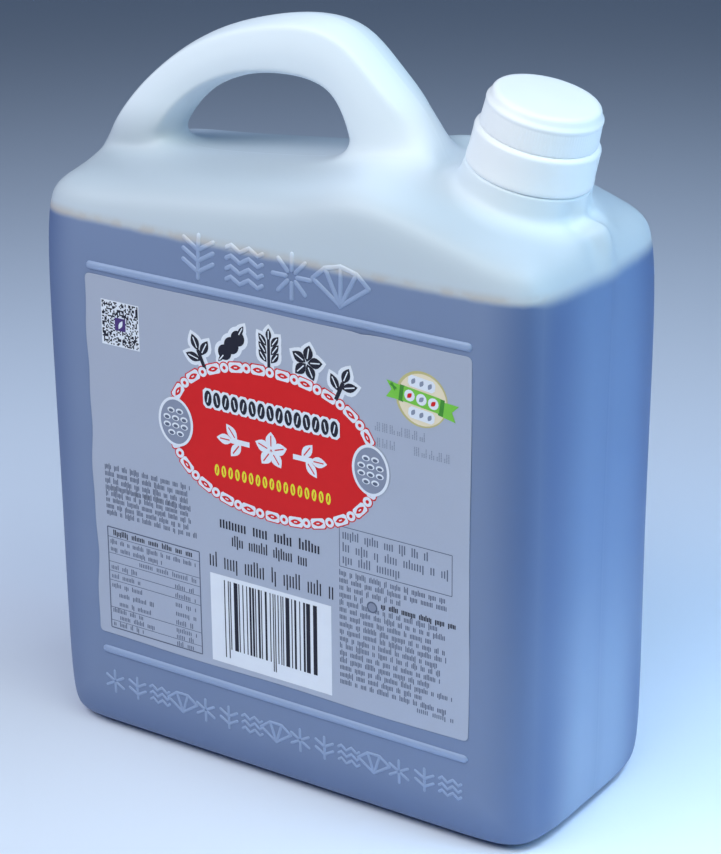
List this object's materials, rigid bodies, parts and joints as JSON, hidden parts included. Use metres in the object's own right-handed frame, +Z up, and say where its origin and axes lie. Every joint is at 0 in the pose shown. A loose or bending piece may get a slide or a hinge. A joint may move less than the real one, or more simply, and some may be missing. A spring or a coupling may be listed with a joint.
{
  "type": "soy sauce bottle",
  "caption": "Flat blow-moulded jug of soy sauce with an arched handle, a tilted neck with a ribbed screw cap, and a silver label on its front.",
  "frame": {"origin": "centre of the bottle's base, on the surface it stands on", "axes": "+Z up, -Y out of the front wall that carries the label, +X towards the end with the neck"},
  "size_m": [0.1658, 0.0755, 0.214],
  "materials": {
    "milky_polythene": "translucent milky white, satin from the mould",
    "soy_sauce": "clear dark brown liquid, nearly black in bulk",
    "white_polythene": "soft satin white",
    "silver_film": "satin silver printed film"
  },
  "bodies": {
    "root": {"bottle": "milky_polythene", "soy_sauce": "soy_sauce", "cap": "white_polythene", "tamper_band": "white_polythene", "label": "silver_film"}
  },
  "joints": []
}
